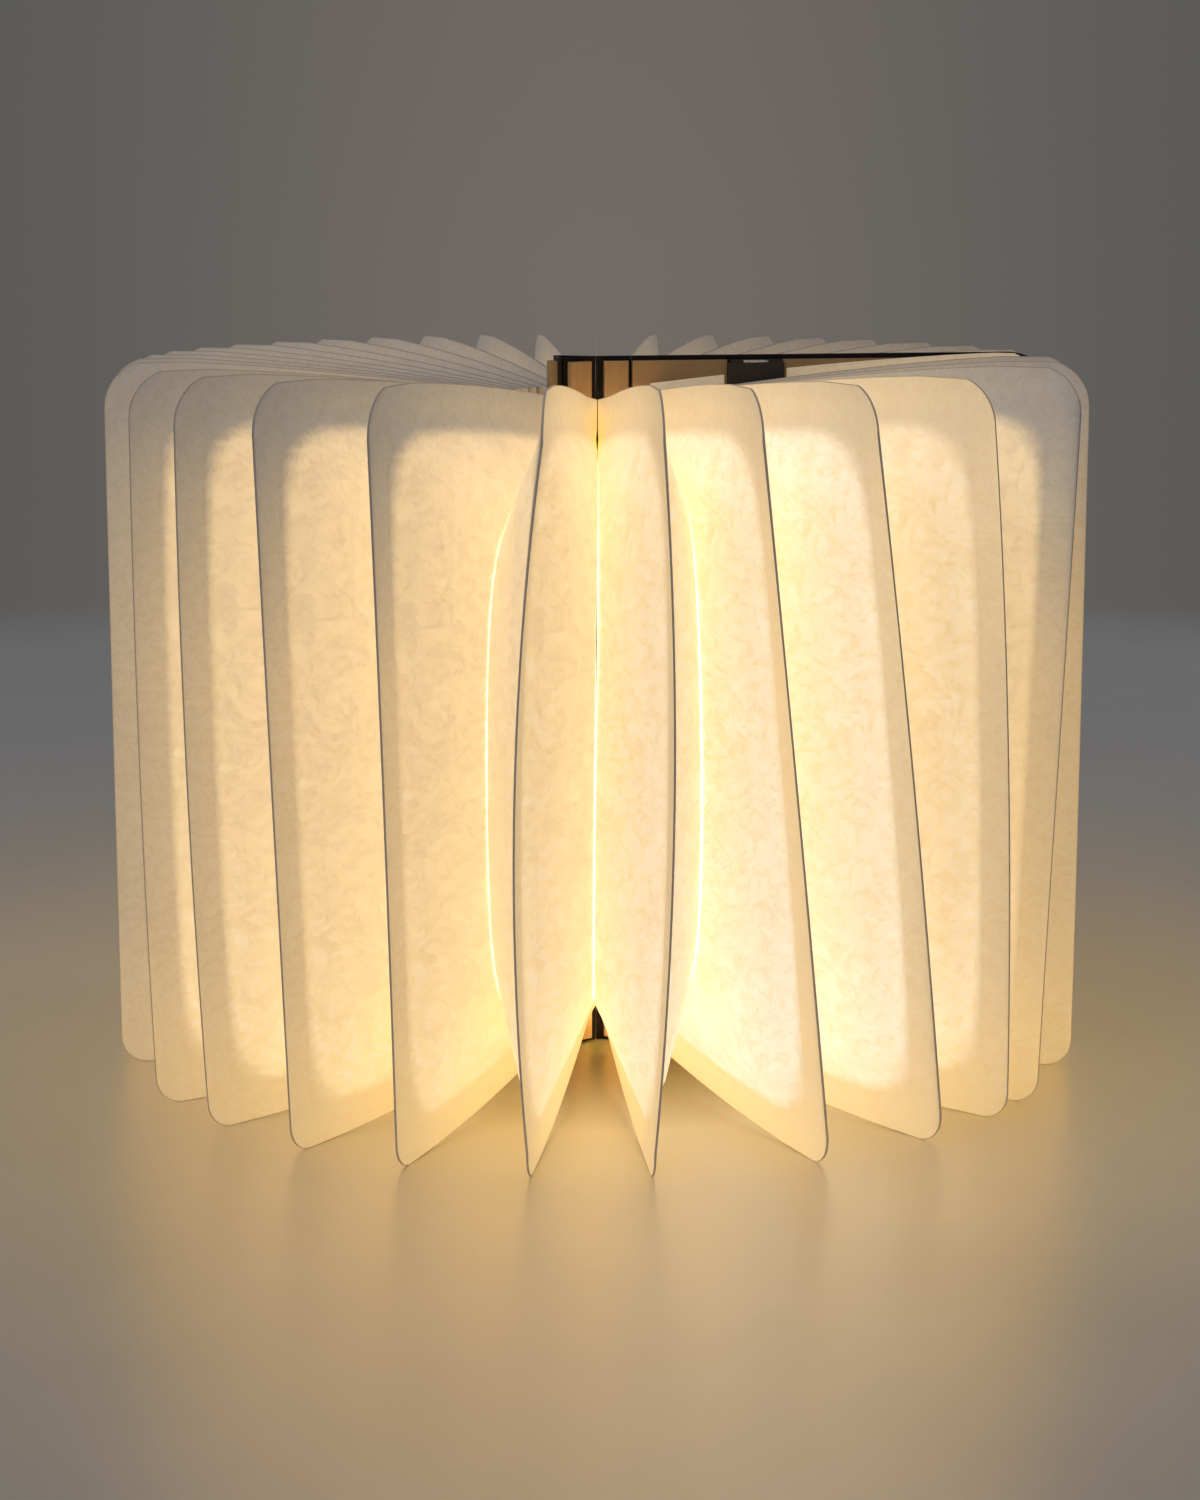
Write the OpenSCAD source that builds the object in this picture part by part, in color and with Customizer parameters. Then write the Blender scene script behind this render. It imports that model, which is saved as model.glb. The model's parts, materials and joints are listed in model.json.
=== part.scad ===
// Folding book lamp, opened right round so that its covers lie back to back.
// The ring's axis is the Z axis, the lamp stands on Z = 0 and the covers point along +X.

/* [Covers and spine] */
// Height of the lamp, head to foot
book_h = 215; // [190:1:250]
// Width of a cover board
board_w = 132; // [120:1:136]
// Thickness of the boards and slats
board_t = 2.4; // [2.2:0.1:2.8]
// How far the skin stands past the boards
skin_margin = 1.4; // [0.8:0.1:2.5]
// Thickness of the dark skin
skin_t = 0.8; // [0.6:0.1:1]
// Radius of the covers' fore-edge corners
cover_corner_r = 14; // [6:1:24]
// Width of a spine slat
slat_w = 7.6; // [7:0.1:8.2]
// Gap at the folds beside the centre slat
centre_gap = 4.2; // [3.8:0.1:4.8]
// Gap at the folds between the other slats
slat_gap = 5.4; // [4.8:0.1:6]
// Gap at the folds beside the boards
board_gap = 1.2; // [1.2:0.1:2]
// Rounding of the slats' long edges
slat_edge_r = 0.4; // [0.2:0.1:0.8]

/* [Leaves] */
// Radius of the ring of leaves
ring_r = 149; // [144:1:158]
// Thickness of one sheet
sheet_t = 0.3; // [0.2:0.05:0.4]
// Width of the band in which a leaf's two sheets are bonded
band_w = 10; // [8:0.5:11]
// Radius of the leaves' fore-edge corners at the head
leaf_corner_r = 14; // [12:1:20]
// Radius of the leaves' fore-edge corners at the foot
foot_corner_r = 8; // [6:1:12]
// How much a sheet swells for each mm past its band
swell = 0.58; // [0.5:0.02:0.66]
// How far the head slopes down towards the core
head_drop = 10; // [4:0.5:14]
// How far the foot slopes up towards the core
foot_rise = 23; // [12:1:30]
// Radius at which the side leaves begin
core_r = 16; // [15.5:0.1:18]

/* [Light bar] */
// Width of the channel
bar_w = 8.4; // [8.2:0.1:8.8]
// Depth of the channel
channel_d = 6.8; // [6.6:0.1:7.6]
// Wall of the channel
channel_wall = 0.8; // [0.6:0.1:0.9]
// Length of the channel
bar_len = 184; // [176:1:186]
// Thickness of the diffuser
diffuser_t = 0.9; // [0.7:0.1:1.2]
// Thickness of an end cap's plate
cap_t = 1.8; // [1.2:0.1:2.5]
// Diameter of a cell
cell_d = 4; // [3.6:0.1:4]
// Length of a cell
cell_len = 62; // [50:1:62]
// Number of LEDs
led_count = 24; // [12:1:28]

/* [Inlet and magnets] */
// Width of the inlet block
inlet_w = 17.5; // [15:0.5:20]
// Height of the inlet block
inlet_h = 11; // [9:0.5:11]
// Distance from the core to the inlet block
inlet_x = 40; // [36:1:60]
// Diameter of a cover magnet
magnet_d = 10; // [8:0.5:12]
// Thickness of a cover magnet
magnet_t = 1.5; // [1:0.1:1.6]

/* [Hidden] */
$fn = 48;
clear = 0.3;       // running clearance between pieces of different bodies
fit = 0.1;         // clearance of a piece in its seat
eps = 0.01;
fold_r = skin_t / 2;
skin_mid = clear / 2 + fold_r;           // from the plane between the covers to the skin's middle
board_mid_in = skin_mid + fold_r;        // to the board's outer face
board_in = board_mid_in + board_t;       // to the board's inner face
end_sheet_in = board_in + sheet_t;       // to the end sheet's inner face

// Folds of the spine, in plan: centre slat, inner slat, outer slat, board
outer_fold_x = -0.9;
inner_len = centre_gap / 2 + slat_w + slat_gap / 2;
outer_len = slat_gap / 2 + slat_w + board_gap / 2;
fold_y = slat_w / 2 + centre_gap / 2;
inner_turn = asin((fold_y - skin_mid) / inner_len);
fold_x = outer_fold_x - inner_len * cos(inner_turn);
board_fold_x = outer_fold_x + outer_len;
board_x0 = board_fold_x + board_gap / 2;
board_x1 = board_x0 + board_w;
slat_h = book_h - 2 * skin_margin;

// Light bar, in front of the centre slat
bar_back_x = fold_x - fold_r - board_t;
bar_z0 = (book_h - bar_len) / 2;
bar_front_x = bar_back_x - channel_d - bar_w / 2;
led_board_t = 1;
led_w = 2.8;
led_h = 3.5;
led_t = 0.7;

// Leaves: each is a pocket of two sheets, named by the angles at head, middle and foot at which it
// stands, in degrees from the ring's left point, towards the front
front_leaves = [
    [0, 0, 1], [16.5, 17, 19.9], [28.3, 29.2, 32], [41.7, 43.5, 45.3], [56.4, 57.7, 58.7],
    [74.9, 71.9, 73.1], [87.2, 88.4, 86.5], [97.5, 101.7, 105.7], [110.7, 116.2, 121.1],
    [127.9, 131.9, 133.3], [151.7, 145.5, 141.1], [162.5, 161.4, 158], [173, 173, 171]];
back_pitch = 8.3;     // between leaves on the far side
loose_pitch = 10;     // between the last few, next to the cover
back_count = 20;
loose_count = 3;
function back_angle(k) =
    back_pitch * min(k, back_count - loose_count) + loose_pitch * max(0, k - back_count + loose_count);
leaves = concat(
    [for (k = [back_count:-1:1]) -back_angle(k) * [1, 1, 1]],
    front_leaves);
leaf_count = len(leaves);
bar_reach = bar_w / 2 + 1;     // a closed leaf this near the middle plane begins in front of the bar
stack_half = 13.5;             // half the closed stack of leaves
stack_pitch = stack_half / 172;
leaf_lift = clear + 1.5 * sheet_t;     // from an end sheet to the middle of the nearest leaf, at least

tan_board = "tan";
dark_skin = "#1c1512";
paper_white = "#f6ecd6";

function leaf_name(i) = str("leaf_", i < 10 ? "0" : "", i);

// ---- leaves ----

head_power = 1.5;
foot_power = 1.15;
taper_r = ring_r - leaf_corner_r;
function inward(r, corner) = max(0, 1 - r / (ring_r - corner));
function corner_cut(r, corner) = let (in = r - ring_r + corner)
    in <= 0 ? 0 : corner - sqrt(max(0, pow(corner, 2) - pow(in, 2)));
function head_line(r) = book_h - head_drop * pow(inward(r, leaf_corner_r), head_power);
function foot_line(r) = foot_rise * pow(inward(r, foot_corner_r), foot_power);
function head_z(r) = head_line(r) - corner_cut(r, leaf_corner_r);
function foot_z(r) = foot_line(r) + corner_cut(r, foot_corner_r);
function leaf_z(r, t) = foot_z(r) + t * (head_z(r) - foot_z(r));

// Angle of leaf i at the share t of its height: a smooth curve through foot, middle and head, kept off
// the covers near the core
function free_stand(i, t) = let (a = leaves[i], u = t - 0.5)
    a[1] + (a[0] - a[2]) * u + 2 * (a[0] + a[2] - 2 * a[1]) * u * u;
function stand(i, r, t) = let (a = free_stand(i, t), most = 180 - asin((end_sheet_in + leaf_lift) / r))
    max(-most, min(most, a));

// Radius at which leaf i begins: beside the light bar, in front of it, or past the fold of a cover
function begins(i) =
    abs(leaves[i][1]) * stack_pitch < bar_reach ? -bar_front_x + clear + 1
    : i == 0 || i == leaf_count - 1 ? core_r + 4
    : core_r;

// How far the sheet on one side (1 or -1) may swing: to half way to the next leaf, or to the end sheet
function room(i, side, r, t) = let (n = i + side)
    (n < 0 || n >= leaf_count
        ? 180 - asin((end_sheet_in + clear) / r) - side * stand(i, r, t)
        : side * (stand(n, r, t) - stand(i, r, t)) / 2 - asin(clear / 2 / r));

// Distance from the U-shaped edge, round at the corners
edge_power = 3;
function near(a, b) = 1 / pow(pow(1 / max(a, eps), edge_power) + pow(1 / max(b, eps), edge_power), 1 / edge_power);
function from_edge(r, t) = let (z = leaf_z(r, t))
    near(ring_r - r, near(head_line(r) - z, z - foot_line(r)));
function bulge(r, t) = sheet_t + swell * max(0, from_edge(r, t) - band_w);

// Radius of the valley, where the sheet meets its neighbour's: found by halving
function valley(i, side, t, lo, hi, n) = let (m = (lo + hi) / 2)
    n == 0 ? m
    : bulge(m, t) > m * sin(room(i, side, m, t)) ? valley(i, side, t, m, hi, n - 1)
    : valley(i, side, t, lo, m, n - 1);

function swing(i, side, r, t) = min(room(i, side, r, t), asin(min(0.99, bulge(r, t) / r)));

rows = [0, 0.047, 0.11, 0.2, 0.34, 0.5, 0.66, 0.8, 0.89, 0.953, 1];
row_count = len(rows);
last_row = row_count - 1;
col_count = 7;
seam_col = 3;     // the column at which the two sheets are bonded

function column_r(i, side, k, t) = let (
        first = begins(i) + 6,
        last = taper_r - 4,
        v = min(last, max(first, valley(i, side, t, begins(i), taper_r, 14))))
    [begins(i), v, taper_r, ring_r - band_w, ring_r - band_w / 2, ring_r - band_w / 10, ring_r][k];

function on_leaf(r, angle, z) = [-r * cos(angle), -r * sin(angle), z];
function outside_point(i, side, j, k) = let (t = rows[j], r = column_r(i, side, k, t))
    on_leaf(r, stand(i, r, t) + side * swing(i, side, r, t), leaf_z(r, t));
function bonded(j, k) = j == 1 || j == last_row - 1 || k == seam_col;
function inside_point(i, side, j, k) = let (t = rows[j], r = column_r(i, side, k, t))
    bonded(j, k)
        ? on_leaf(r, stand(i, r, t), leaf_z(r, t))
        : on_leaf(r, stand(i, r, t) + side * (swing(i, side, r, t) - asin(sheet_t / r)), leaf_z(r, t));

// Places of the points in the list
in_rows = row_count - 2;
in_cols = seam_col + 1;
in_start = 2 * row_count * col_count;
function out_at(s, j, k) = (s * row_count + j) * col_count + k;
function in_at(s, j, k) = in_start + ((bonded(j, k) ? 0 : s) * in_rows + j - 1) * in_cols + k;

// Two triangles of a four-sided patch, cut from corner to corner one way above the middle of the leaf
// and the other way below it, and a list turned inside out
function patch(a, b, c, d) = [[a, b, c], [a, c, d]];
function cut_patch(j, a, b, c, d) = j < last_row / 2 ? patch(b, c, d, a) : patch(a, b, c, d);
function flip(list) = [for (f = list) [f[2], f[1], f[0]]];
function flat(lists) = [for (list = lists) each list];

leaf_faces = flip(concat(
    // outer faces of the two sheets
    flat([for (j = [0:last_row - 1], k = [0:col_count - 2])
        cut_patch(j, out_at(1, j, k), out_at(1, j + 1, k), out_at(1, j + 1, k + 1), out_at(1, j, k + 1))]),
    flat([for (j = [0:last_row - 1], k = [0:col_count - 2])
        cut_patch(j, out_at(0, j, k), out_at(0, j, k + 1), out_at(0, j + 1, k + 1), out_at(0, j + 1, k))]),
    // inner faces of the pocket
    flat([for (j = [1:last_row - 2], k = [0:seam_col - 1])
        cut_patch(j, in_at(1, j, k), in_at(1, j, k + 1), in_at(1, j + 1, k + 1), in_at(1, j + 1, k))]),
    flat([for (j = [1:last_row - 2], k = [0:seam_col - 1])
        cut_patch(j, in_at(0, j, k), in_at(0, j + 1, k), in_at(0, j + 1, k + 1), in_at(0, j, k + 1))]),
    // fore-edge, head and foot
    flat([for (j = [0:last_row - 1]) let (k = col_count - 1)
        patch(out_at(0, j, k), out_at(1, j, k), out_at(1, j + 1, k), out_at(0, j + 1, k))]),
    flat([for (k = [0:col_count - 2]) let (j = last_row)
        patch(out_at(0, j, k), out_at(0, j, k + 1), out_at(1, j, k + 1), out_at(1, j, k))]),
    flat([for (k = [0:col_count - 2])
        patch(out_at(0, 0, k), out_at(1, 0, k), out_at(1, 0, k + 1), out_at(0, 0, k + 1))]),
    // the sheets' edges at the mouth of the pocket
    flat([for (j = [1:last_row - 2])
        patch(in_at(1, j, 0), in_at(1, j + 1, 0), out_at(1, j + 1, 0), out_at(1, j, 0))]),
    flat([for (j = [1:last_row - 2])
        patch(out_at(0, j, 0), out_at(0, j + 1, 0), in_at(0, j + 1, 0), in_at(0, j, 0))]),
    [[out_at(0, 0, 0), out_at(0, 1, 0), in_at(0, 1, 0)],
     [out_at(0, 0, 0), in_at(0, 1, 0), out_at(1, 0, 0)],
     [in_at(0, 1, 0), out_at(1, 1, 0), out_at(1, 0, 0)],
     [out_at(0, last_row - 1, 0), out_at(0, last_row, 0), in_at(0, last_row - 1, 0)],
     [out_at(0, last_row, 0), out_at(1, last_row, 0), in_at(0, last_row - 1, 0)],
     [in_at(0, last_row - 1, 0), out_at(1, last_row, 0), out_at(1, last_row - 1, 0)]]));

module leaf(i) {
    points = concat(
        [for (side = [-1, 1], j = [0:last_row], k = [0:col_count - 1]) outside_point(i, side, j, k)],
        [for (side = [-1, 1], j = [1:last_row - 1], k = [0:seam_col]) inside_point(i, side, j, k)]);
    color(paper_white) polyhedron(points = points, faces = leaf_faces, convexity = 6);
}

// ---- folding frame: front and back are mirror images ----

module mirrored(back) {
    if (back) mirror([0, 1, 0]) children();
    else children();
}

// The frame of a spine part: its fold at the origin, its skin along +X and its inner face at -Y
module at_inner(back) {
    mirrored(back) translate([fold_x, -fold_y, 0]) rotate(inner_turn) children();
}

module at_outer(back) {
    mirrored(back) translate([outer_fold_x, -skin_mid, 0]) children();
}

module at_cover(back) {
    mirrored(back) translate([board_fold_x, -skin_mid, 0]) children();
}

module rounded_bar(w, t, r) {
    union() {
        translate([r, 0]) square([w - 2 * r, t]);
        translate([0, r]) square([w, t - 2 * r]);
        for (x = [r, w - r], y = [r, t - r]) translate([x, y]) circle(r);
    }
}

// A slat, x0 from its fold, lying on the skin
module slat(x0) {
    color(tan_board) translate([x0, -fold_r - board_t, skin_margin])
        linear_extrude(slat_h) rounded_bar(slat_w, board_t, slat_edge_r);
}

// A strip of skin from x0 to x1, with a fold at x1 if it carries one
module strip(x0, x1, folds) {
    color(dark_skin) union() {
        translate([x0, -fold_r, 0]) cube([x1 - x0, skin_t, book_h]);
        if (folds) translate([x1, 0, 0]) cylinder(r = fold_r, h = book_h);
    }
}

skin_start = fold_r + clear;     // a strip begins this far from the fold that its neighbour carries

module centre_slat() {
    color(tan_board) translate([fold_x - fold_r, -slat_w / 2, skin_margin]) rotate(90)
        linear_extrude(slat_h) rounded_bar(slat_w, board_t, slat_edge_r);
}

module centre_skin() {
    color(dark_skin) union() {
        translate([fold_x - fold_r, -fold_y, 0]) cube([skin_t, 2 * fold_y, book_h]);
        for (y = [-fold_y, fold_y]) translate([fold_x, y, 0]) cylinder(r = fold_r, h = book_h);
    }
}

module inner_slat(back) at_inner(back) slat(centre_gap / 2);
module outer_slat(back) at_outer(back) slat(slat_gap / 2);
module inner_skin(back) at_inner(back) strip(skin_start, inner_len, true);
module outer_skin(back) at_outer(back) strip(skin_start, outer_len, true);

// Outline of a cover, flat, with its fore-edge corners rounded
module cover_outline(x0, x1, z0, z1, r) {
    union() {
        translate([x0, z0]) square([x1 - x0 - r, z1 - z0]);
        translate([x0, z0 + r]) square([x1 - x0, z1 - z0 - 2 * r]);
        for (z = [z0 + r, z1 - r]) translate([x1 - r, z]) circle(r);
    }
}

// A flat outline in X and Z, made t thick, with its outer face at y
module upright(y, t) translate([0, y, 0]) rotate([90, 0, 0]) linear_extrude(t) children();

// Room for the inlet block, open at the head and through the board's inner face
module inlet_space(gap) {
    past = 10;      // how far it goes on past the board
    translate([inlet_x - gap, -board_in - past, book_h - skin_margin - inlet_h - gap])
        cube([inlet_w + 2 * gap, board_t + past + gap, inlet_h + skin_margin + 2 * gap + 1]);
}

// Places of the magnets: two at the fore-edge, and a small one by the spine that works the sensor
magnet_inset = 9;
magnet_rise = 40;
sensor_inset = 5;
sensor_drop = 35;
magnet_zs = [magnet_rise, book_h - magnet_rise];
sensor_magnet = [board_x0 + sensor_inset, book_h - sensor_drop];
sensor_magnet_d = 4;
function magnet_places() = [for (z = magnet_zs) [board_x1 - magnet_inset, z, magnet_d]];
function front_magnet_places() = concat(magnet_places(), [[sensor_magnet[0], sensor_magnet[1], sensor_magnet_d]]);

module magnet_set(places, t, gap) {
    for (p = places) translate([p[0], -board_mid_in, p[1]]) rotate([90, 0, 0])
        cylinder(d = p[2] + 2 * gap, h = t);
}

module board(back) {
    color(tan_board) mirrored(back) difference() {
        upright(-board_mid_in, board_t)
            cover_outline(board_x0, board_x1, skin_margin, book_h - skin_margin, cover_corner_r - skin_margin);
        translate([0, eps, 0]) magnet_set(back ? magnet_places() : front_magnet_places(), magnet_t + fit + eps, fit);
        if (!back) inlet_space(fit);
    }
}

module cover_skin(back) {
    color(dark_skin) mirrored(back) upright(-skin_mid + fold_r, skin_t)
        cover_outline(board_fold_x + skin_start, board_x1 + skin_margin, 0, book_h, cover_corner_r);
}

module end_sheet(back) {
    r0 = core_r;
    r1 = min(ring_r - 1, board_x1 - 1);
    cut = ring_r - r1;
    steps = 14;
    rs = [for (n = [0:steps]) r0 + (ring_r - r0) * (1 - pow(1 - n / steps, 1.6))];
    outline = concat(
        [for (r = rs) [r == r0 ? r0 : r - cut * (r - r0) / (ring_r - r0), foot_z(r)]],
        [for (n = [steps:-1:0]) let (r = rs[n]) [r - cut * (r - r0) / (ring_r - r0), head_z(r)]]);
    color(paper_white) mirrored(back) difference() {
        upright(-board_in, sheet_t) polygon(outline);
        if (!back) inlet_space(1);
    }
}

module magnets(back) {
    color("silver") mirrored(back) magnet_set(back ? magnet_places() : front_magnet_places(), magnet_t, 0);
}

// Inlet block, let into the head of the front board, with the seat of the socket
inlet_t = 4;
socket_w = 8.94;
socket_t = 3.2;
socket_len = 7.3;
socket_wall = 0.3;
socket_x = inlet_x + inlet_w / 2;
socket_y = -board_mid_in - inlet_t / 2;
inlet_top = book_h - skin_margin;

module stadium(w, t) {
    union() {
        square([w - t, t], center = true);
        for (x = [-1, 1]) translate([x * (w - t) / 2, 0]) circle(d = t);
    }
}

module inlet_block() {
    edge = 0.8;
    color("#2a211c") difference() {
        translate([inlet_x, -board_mid_in - inlet_t, inlet_top - inlet_h]) union() {
            cube([inlet_w, inlet_t, inlet_h - edge]);
            translate([edge, edge, 0]) cube([inlet_w - 2 * edge, inlet_t - edge, inlet_h]);
        }
        translate([socket_x, socket_y, inlet_top - socket_len - fit])
            linear_extrude(socket_len + 1) stadium(socket_w, socket_t);
    }
}

module usb_socket() {
    tongue = [6.7, 0.7, 4.8];
    color("silver") translate([socket_x, socket_y, inlet_top - socket_len - fit + eps]) union() {
        difference() {
            linear_extrude(socket_len) stadium(socket_w, socket_t);
            translate([0, 0, 1]) linear_extrude(socket_len)
                stadium(socket_w - 2 * socket_wall, socket_t - 2 * socket_wall);
        }
        translate([-tongue[0] / 2, -tongue[1] / 2, 0.5]) cube(tongue);
    }
}

// ---- light bar ----

// The bar's frame: its back on the centre slat, its front towards +X, its foot at Z = 0
module at_bar() translate([bar_back_x, 0, bar_z0]) rotate(180) children();

cell_room = cell_d + 2 * fit;
board_seat = channel_d - led_board_t - 0.6;     // depth of the LED board's back
ledge_w = 0.5;                                  // ledges that carry the LED board

module channel_profile() {
    inner = bar_w - 2 * channel_wall;
    difference() {
        translate([0, -bar_w / 2]) square([channel_d, bar_w]);
        translate([channel_wall, -inner / 2 + ledge_w])
            square([channel_d, inner - 2 * ledge_w]);
        translate([channel_wall, -inner / 2]) square([board_seat - 0.6 - channel_wall, inner]);
        translate([board_seat, -inner / 2]) square([channel_d, inner]);
        // grooves that hold the diffuser's feet
        for (side = [-1, 1]) translate([channel_d - 0.35, side * (inner / 2 + 0.1)])
            circle(0.3);
    }
}

module bar_channel() color("#e8e6e0") at_bar() linear_extrude(bar_len) channel_profile();

module bar_diffuser() {
    color("white") at_bar() translate([channel_d, 0, 0]) linear_extrude(bar_len) difference() {
        circle(bar_w / 2);
        circle(bar_w / 2 - diffuser_t);
        translate([-bar_w, -bar_w]) square([bar_w, 2 * bar_w]);
    }
}

plug_len = 4;

module cap_profile() {
    union() {
        translate([0, -bar_w / 2]) square([channel_d, bar_w]);
        translate([channel_d, 0]) circle(bar_w / 2);
    }
}

module bar_end_caps() {
    inner = bar_w - 2 * channel_wall;
    plug_d = board_seat - 0.6 - channel_wall - 2 * fit;
    color("#e8e6e0") at_bar() for (foot = [true, false])
        translate([0, 0, foot ? -cap_t : bar_len]) union() {
            linear_extrude(cap_t) cap_profile();
            translate([channel_wall + fit, -inner / 2 + fit, foot ? cap_t - eps : -plug_len + eps])
                cube([plug_d, inner - 2 * fit, plug_len]);
        }
}

led_board_len = bar_len - 2;

module led_board() {
    color("#f2f2ee") at_bar() translate([board_seat, -bar_w / 2 + channel_wall + fit, 1])
        cube([led_board_t, bar_w - 2 * channel_wall - 2 * fit, led_board_len]);
}

led_end = 8;      // from the end of the bar to the first LED

module leds() {
    pitch = (bar_len - 2 * led_end - led_h) / (led_count - 1);
    color("#ffe9a8") at_bar() for (n = [0:led_count - 1])
        translate([board_seat + led_board_t, -led_w / 2, led_end + n * pitch]) cube([led_t, led_w, led_h]);
}

cells_z0 = plug_len + 1;
cell_x = channel_wall + fit + cell_d / 2;

module cells() {
    cap_h = 0.8;
    color("#3f6f9f") at_bar() for (n = [0, 1])
        translate([cell_x, 0, cells_z0 + n * (cell_len + cap_h + fit)]) union() {
            cylinder(d = cell_d, h = cell_len);
            translate([0, 0, cell_len - eps]) cylinder(d = cell_d / 3, h = cap_h);
        }
}

module control_board() {
    z0 = cells_z0 + 2 * (cell_len + 1) + 2;
    len = bar_len - plug_len - 1 - z0;
    pcb_t = 0.8;
    chip_w = 3.2;
    chips = [[0.13, 0.09, 1.1], [0.3, 0.11, 1.3], [0.52, 0.07, 0.9], [0.7, 0.09, 1.4]];   // shares of the length, height
    color("#2f6b3f") at_bar() translate([channel_wall + fit, 0, z0]) union() {
        translate([0, -bar_w / 2 + channel_wall + 2 * fit, 0])
            cube([pcb_t, bar_w - 2 * channel_wall - 4 * fit, len]);
        for (c = chips) translate([pcb_t - eps, -chip_w / 2, c[0] * len]) cube([c[2], chip_w, c[1] * len]);
    }
}

centre_slat();
inner_slat(false);  // front_inner_slat
outer_slat(false);  // front_outer_slat
inner_slat(true);  // back_inner_slat
outer_slat(true);  // back_outer_slat
board(false);  // front_board
board(true);  // back_board
cover_skin(false);  // front_cover_skin
cover_skin(true);  // back_cover_skin
centre_skin();
inner_skin(false);  // front_inner_skin
outer_skin(false);  // front_outer_skin
inner_skin(true);  // back_inner_skin
outer_skin(true);  // back_outer_skin
end_sheet(false);  // front_end_sheet
end_sheet(true);  // back_end_sheet
magnets(false);  // front_magnets
magnets(true);  // back_magnets
inlet_block();
usb_socket();
bar_channel();
bar_diffuser();
bar_end_caps();
led_board();
leds();
cells();
control_board();
for (i = [1:leaf_count]) leaf(i - 1);
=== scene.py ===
import bpy
import json
import math
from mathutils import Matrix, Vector, noise


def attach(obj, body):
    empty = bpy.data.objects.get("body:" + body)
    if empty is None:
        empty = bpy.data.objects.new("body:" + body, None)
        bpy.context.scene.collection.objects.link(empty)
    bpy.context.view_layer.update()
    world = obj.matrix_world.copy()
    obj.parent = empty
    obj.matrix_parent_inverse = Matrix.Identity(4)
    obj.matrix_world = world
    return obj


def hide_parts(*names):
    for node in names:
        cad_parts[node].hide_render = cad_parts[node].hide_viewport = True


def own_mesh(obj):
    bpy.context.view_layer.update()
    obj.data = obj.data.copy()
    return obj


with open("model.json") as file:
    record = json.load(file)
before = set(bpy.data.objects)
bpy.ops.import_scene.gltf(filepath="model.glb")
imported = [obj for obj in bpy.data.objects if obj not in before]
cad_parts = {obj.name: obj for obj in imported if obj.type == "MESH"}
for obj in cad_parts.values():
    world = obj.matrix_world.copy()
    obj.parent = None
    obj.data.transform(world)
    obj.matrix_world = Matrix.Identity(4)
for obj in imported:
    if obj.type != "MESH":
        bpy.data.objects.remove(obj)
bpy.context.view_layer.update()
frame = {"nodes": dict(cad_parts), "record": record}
nodes = frame["nodes"]
print("frame loaded,", len(nodes), "nodes")

mm = 0.001


def mix(a, b, t):
    return a + (b - a) * t


def addNode(tree, kind, inputs=None, **settings):
    node = tree.nodes.new(kind)
    for name, value in settings.items():
        setattr(node, name, value)
    for key, value in (inputs or {}).items():
        if isinstance(value, bpy.types.NodeSocket):
            tree.links.new(value, node.inputs[key])
        else:
            node.inputs[key].default_value = value
    return node


def newMaterial(name, sockets):
    material = bpy.data.materials.new(name)
    material.use_nodes = True
    shader = material.node_tree.nodes["Principled BSDF"]
    for key, value in sockets.items():
        shader.inputs[key].default_value = value
    return material, material.node_tree, shader


def rampOf(tree, fac, stops):
    ramp = addNode(tree, "ShaderNodeValToRGB", {"Fac": fac})
    elements = ramp.color_ramp.elements
    elements[0].position, elements[0].color = stops[0][0], (*stops[0][1], 1)
    elements[1].position, elements[1].color = stops[-1][0], (*stops[-1][1], 1)
    for position, colour in stops[1:-1]:
        elements.new(position).color = (*colour, 1)
    return ramp.outputs["Color"]


def noiseOf(tree, vector, scale, detail=4, roughness=0.55, distortion=0):
    settings = {"Vector": vector, "Scale": scale, "Detail": detail, "Roughness": roughness, "Distortion": distortion}
    return addNode(tree, "ShaderNodeTexNoise", settings).outputs["Fac"]


def rangeOf(tree, value, low, high, toLow=0.0, toHigh=1.0, smooth=False):
    node = addNode(tree, "ShaderNodeMapRange",
                   {"Value": value, "From Min": low, "From Max": high, "To Min": toLow, "To Max": toHigh})
    if smooth:
        node.interpolation_type = "SMOOTHSTEP"
    return node.outputs["Result"]


def mathOf(tree, operation, a, b=0.0):
    return addNode(tree, "ShaderNodeMath", {0: a, 1: b}, operation=operation).outputs[0]


def mixOf(tree, fac, a, b):
    node = addNode(tree, "ShaderNodeMix", data_type="RGBA")
    for socket, value in ((node.inputs[0], fac), (node.inputs[6], a), (node.inputs[7], b)):
        if isinstance(value, bpy.types.NodeSocket):
            tree.links.new(value, socket)
        else:
            socket.default_value = value
    return node.outputs[2]


def ridgeOf(tree, noiseValue, width):      # thin lines where the noise passes its middle
    distance = mathOf(tree, "ABSOLUTE", mathOf(tree, "SUBTRACT", noiseValue, 0.5))
    return rangeOf(tree, distance, 0.0, width)


def bumpOf(tree, shader, height, strength, distance):
    bump = addNode(tree, "ShaderNodeBump", {"Height": height, "Strength": strength, "Distance": distance})
    tree.links.new(bump.outputs["Normal"], shader.inputs["Normal"])


def stretched(tree, scale):
    place = addNode(tree, "ShaderNodeTexCoord").outputs["Object"]
    return addNode(tree, "ShaderNodeMapping", {"Vector": place, "Scale": scale}).outputs["Vector"]


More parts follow.
